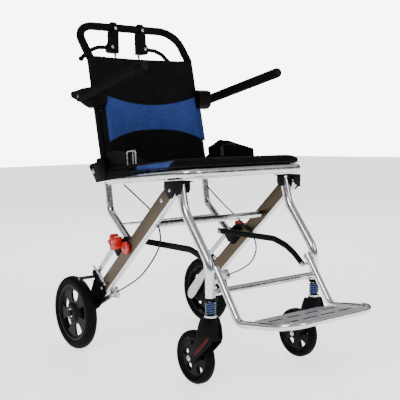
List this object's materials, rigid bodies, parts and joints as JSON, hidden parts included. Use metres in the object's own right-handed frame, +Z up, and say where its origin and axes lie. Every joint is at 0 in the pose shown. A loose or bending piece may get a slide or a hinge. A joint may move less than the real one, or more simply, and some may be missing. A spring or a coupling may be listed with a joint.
{
  "type": "transport wheelchair",
  "caption": "Attendant-pushed folding travel wheelchair: folding back and leg frame, flip-up armrests and footrest, sprung swivel casters, drum brakes with hand levers.",
  "frame": {"origin": "centre of the part's outline on the floor, under its wheels", "axes": "+Z up, the chair faces -Y, +X is its left side"},
  "size_m": [0.4956, 0.8443, 0.9047],
  "materials": {
    "polished_tube": "polished bright metal",
    "bronze_leg": "bronze anodised faces with polished edges",
    "steel": "bright zinc",
    "black_paint": "satin black",
    "black_plastic": "fine grain",
    "grey_plastic": "fine grain",
    "foam": "closed-cell foam",
    "fabric": "woven, with a blue mesh panel",
    "webbing": "woven webbing",
    "rim_plastic": "gloss black",
    "rubber": "solid tread",
    "knob_red": "gloss red",
    "spring_blue": "gloss blue",
    "cable_sheath": "smooth sheath"
  },
  "bodies": {
    "seat": {"seat_frame": "polished_tube", "seat_sling": "fabric", "seat_cushion": "fabric", "pivot_housing_right": "grey_plastic", "pivot_housing_left": "grey_plastic", "rear_bracket_right": "black_plastic", "rear_bracket_left": "black_plastic", "belt_strap_right": "webbing", "belt_strap_left": "webbing", "belt_buckle": "grey_plastic"},
    "back": {"back_frame": "black_paint", "handle_grip": "foam", "back_fabric": "fabric", "arm_bracket_right": "black_plastic", "arm_bracket_left": "black_plastic", "brake_housing_right": "black_plastic", "brake_housing_left": "black_plastic", "upper_cable_right": "cable_sheath", "upper_cable_left": "cable_sheath"},
    "front_legs": {"front_leg_right": "polished_tube", "front_leg_left": "polished_tube", "front_cross_tube": "polished_tube"},
    "footrest": {"footrest_tube": "polished_tube", "footplate": "polished_tube"},
    "rear_legs": {"rear_leg_right": "bronze_leg", "rear_leg_left": "bronze_leg", "rear_cross_tube": "polished_tube", "hub_bracket_right": "black_plastic", "hub_bracket_left": "black_plastic", "guide_rod_right": "polished_tube", "guide_rod_left": "polished_tube", "lower_cable_right": "cable_sheath", "lower_cable_left": "cable_sheath"},
    "struts": {"strut_frame": "polished_tube"},
    "arm_right": {"armrest_right": "foam"},
    "hand_lever_right": {"brake_lever_right": "black_paint"},
    "stem_right": {"caster_stem_right": "steel", "caster_spring_right": "spring_blue"},
    "fork_right": {"caster_fork_right": "grey_plastic"},
    "front_wheel_right": {"caster_wheel_right": "rubber"},
    "wheel_right": {"rear_wheel_right": "rim_plastic", "rear_tyre_right": "rubber"},
    "slide_block_right": {"slider_right": "black_plastic"},
    "link_right": {"link_bar_right": "black_paint"},
    "knob_right": {"lock_knob_right": "knob_red"},
    "parking_right": {"parking_lever_right": "polished_tube"},
    "drum_arm_right": {"brake_arm_right": "steel"},
    "arm_left": {"armrest_left": "foam"},
    "hand_lever_left": {"brake_lever_left": "black_paint"},
    "stem_left": {"caster_stem_left": "steel", "caster_spring_left": "spring_blue"},
    "fork_left": {"caster_fork_left": "grey_plastic"},
    "front_wheel_left": {"caster_wheel_left": "rubber"},
    "wheel_left": {"rear_wheel_left": "rim_plastic", "rear_tyre_left": "rubber"},
    "slide_block_left": {"slider_left": "black_plastic"},
    "link_left": {"link_bar_left": "black_paint"},
    "knob_left": {"lock_knob_left": "knob_red"},
    "parking_left": {"parking_lever_left": "polished_tube"},
    "drum_arm_left": {"brake_arm_left": "steel"}
  },
  "joints": [
    {"name": "front_legs_fold", "type": "hinge", "parent": "seat", "child": "front_legs", "pos_m": [0, -0.0938, 0.4505], "axis": [1, 0, 0], "range_deg": [0, 28.8]},
    {"name": "rear_legs_fold", "type": "hinge", "parent": "seat", "child": "rear_legs", "pos_m": [0, -0.0938, 0.4505], "axis": [1, 0, 0], "range_deg": [0, 7.45]},
    {"name": "strut_swing", "type": "hinge", "parent": "seat", "child": "struts", "pos_m": [0, 0.2382, 0.459], "axis": [1, 0, 0], "range_deg": [0, 36]},
    {"name": "back_fold", "type": "hinge", "parent": "seat", "child": "back", "pos_m": [0, 0.2222, 0.512], "axis": [1, 0, 0], "range_deg": [0, 86], "deforming": ["belt_strap_right", "belt_strap_left"]},
    {"name": "footrest_flip", "type": "hinge", "parent": "front_legs", "child": "footrest", "pos_m": [0, -0.1938, 0.2695], "axis": [-1, 0, 0], "range_deg": [0, 95]},
    {"name": "link_swing_right", "type": "hinge", "parent": "front_legs", "child": "link_right", "pos_m": [-0.1365, -0.1858, 0.25], "axis": [1, 0, 0], "range_deg": [-31, 0]},
    {"name": "slider_travel_right", "type": "slide", "parent": "rear_legs", "child": "slide_block_right", "axis": [0, 0.7547, -0.6561], "range_m": [0, 0.112]},
    {"name": "lock_knob_turn_right", "type": "hinge", "parent": "slide_block_right", "child": "knob_right", "pos_m": [-0.205, 0.13506, 0.30985], "axis": [1, 0, 0], "range_deg": [0, 90]},
    {"name": "armrest_flip_right", "type": "hinge", "parent": "back", "child": "arm_right", "pos_m": [-0.216, 0.2702, 0.684], "axis": [-1, 0, 0], "range_deg": [0, 95]},
    {"name": "hand_brake_pull_right", "type": "hinge", "parent": "back", "child": "hand_lever_right", "pos_m": [-0.056, 0.3822, 0.832], "axis": [0, 1, 0], "range_deg": [0, 14], "stiffness_Nm_per_rad": 0.25, "springref_deg": -5.73},
    {"name": "drum_arm_pull_right", "type": "hinge", "parent": "rear_legs", "child": "drum_arm_right", "pos_m": [-0.1955, 0.2502, 0.13], "axis": [1, 0, 0], "range_deg": [0, 8]},
    {"name": "parking_brake_right", "type": "hinge", "parent": "rear_legs", "child": "parking_right", "pos_m": [-0.1885, 0.2562, 0.184], "axis": [-1, 0, 0], "range_deg": [0, 18]},
    {"name": "rear_wheel_spin_right", "type": "hinge", "parent": "rear_legs", "child": "wheel_right", "pos_m": [-0.228, 0.3222, 0.1], "axis": [1, 0, 0], "continuous": true},
    {"name": "suspension_travel_right", "type": "slide", "parent": "front_legs", "child": "stem_right", "axis": [0, 0, 1], "range_m": [0, 0.01], "stiffness_N_per_m": 10000, "springref_m": -0.01, "deforming": ["caster_spring_right"]},
    {"name": "caster_swivel_right", "type": "hinge", "parent": "stem_right", "child": "fork_right", "pos_m": [-0.1675, -0.1938, 0.15], "axis": [0, 0, 1], "continuous": true},
    {"name": "caster_spin_right", "type": "hinge", "parent": "fork_right", "child": "front_wheel_right", "pos_m": [-0.1675, -0.1353, 0.063], "axis": [1, 0, 0], "continuous": true},
    {"name": "link_swing_left", "type": "hinge", "parent": "front_legs", "child": "link_left", "pos_m": [0.1365, -0.1858, 0.25], "axis": [1, 0, 0], "range_deg": [-31, 0]},
    {"name": "slider_travel_left", "type": "slide", "parent": "rear_legs", "child": "slide_block_left", "axis": [0, 0.7547, -0.6561], "range_m": [0, 0.112]},
    {"name": "lock_knob_turn_left", "type": "hinge", "parent": "slide_block_left", "child": "knob_left", "pos_m": [0.205, 0.13506, 0.30985], "axis": [1, 0, 0], "range_deg": [0, 90]},
    {"name": "armrest_flip_left", "type": "hinge", "parent": "back", "child": "arm_left", "pos_m": [0.216, 0.2702, 0.684], "axis": [-1, 0, 0], "range_deg": [0, 95]},
    {"name": "hand_brake_pull_left", "type": "hinge", "parent": "back", "child": "hand_lever_left", "pos_m": [0.056, 0.3822, 0.832], "axis": [0, -1, 0], "range_deg": [0, 14], "stiffness_Nm_per_rad": 0.25, "springref_deg": -5.73},
    {"name": "drum_arm_pull_left", "type": "hinge", "parent": "rear_legs", "child": "drum_arm_left", "pos_m": [0.1955, 0.2502, 0.13], "axis": [1, 0, 0], "range_deg": [0, 8]},
    {"name": "parking_brake_left", "type": "hinge", "parent": "rear_legs", "child": "parking_left", "pos_m": [0.1885, 0.2562, 0.184], "axis": [-1, 0, 0], "range_deg": [0, 18]},
    {"name": "rear_wheel_spin_left", "type": "hinge", "parent": "rear_legs", "child": "wheel_left", "pos_m": [0.228, 0.3222, 0.1], "axis": [1, 0, 0], "continuous": true},
    {"name": "suspension_travel_left", "type": "slide", "parent": "front_legs", "child": "stem_left", "axis": [0, 0, 1], "range_m": [0, 0.01], "stiffness_N_per_m": 10000, "springref_m": -0.01, "deforming": ["caster_spring_left"]},
    {"name": "caster_swivel_left", "type": "hinge", "parent": "stem_left", "child": "fork_left", "pos_m": [0.1675, -0.1938, 0.15], "axis": [0, 0, 1], "continuous": true},
    {"name": "caster_spin_left", "type": "hinge", "parent": "fork_left", "child": "front_wheel_left", "pos_m": [0.1675, -0.1353, 0.063], "axis": [1, 0, 0], "continuous": true}
  ],
  "couplings": [
    {"joint": "rear_legs_fold", "follows": "front_legs_fold", "ratio": 0.2567},
    {"joint": "strut_swing", "follows": "front_legs_fold", "ratio": 1.2457},
    {"joint": "link_swing_right", "follows": "front_legs_fold", "ratio": -1.0727},
    {"joint": "slider_travel_right", "follows": "front_legs_fold", "m_per_rad": 0.222},
    {"joint": "drum_arm_pull_right", "follows": "hand_brake_pull_right", "ratio": 0.5},
    {"joint": "link_swing_left", "follows": "front_legs_fold", "ratio": -1.0727},
    {"joint": "slider_travel_left", "follows": "front_legs_fold", "m_per_rad": 0.222},
    {"joint": "drum_arm_pull_left", "follows": "hand_brake_pull_left", "ratio": 0.5}
  ]
}
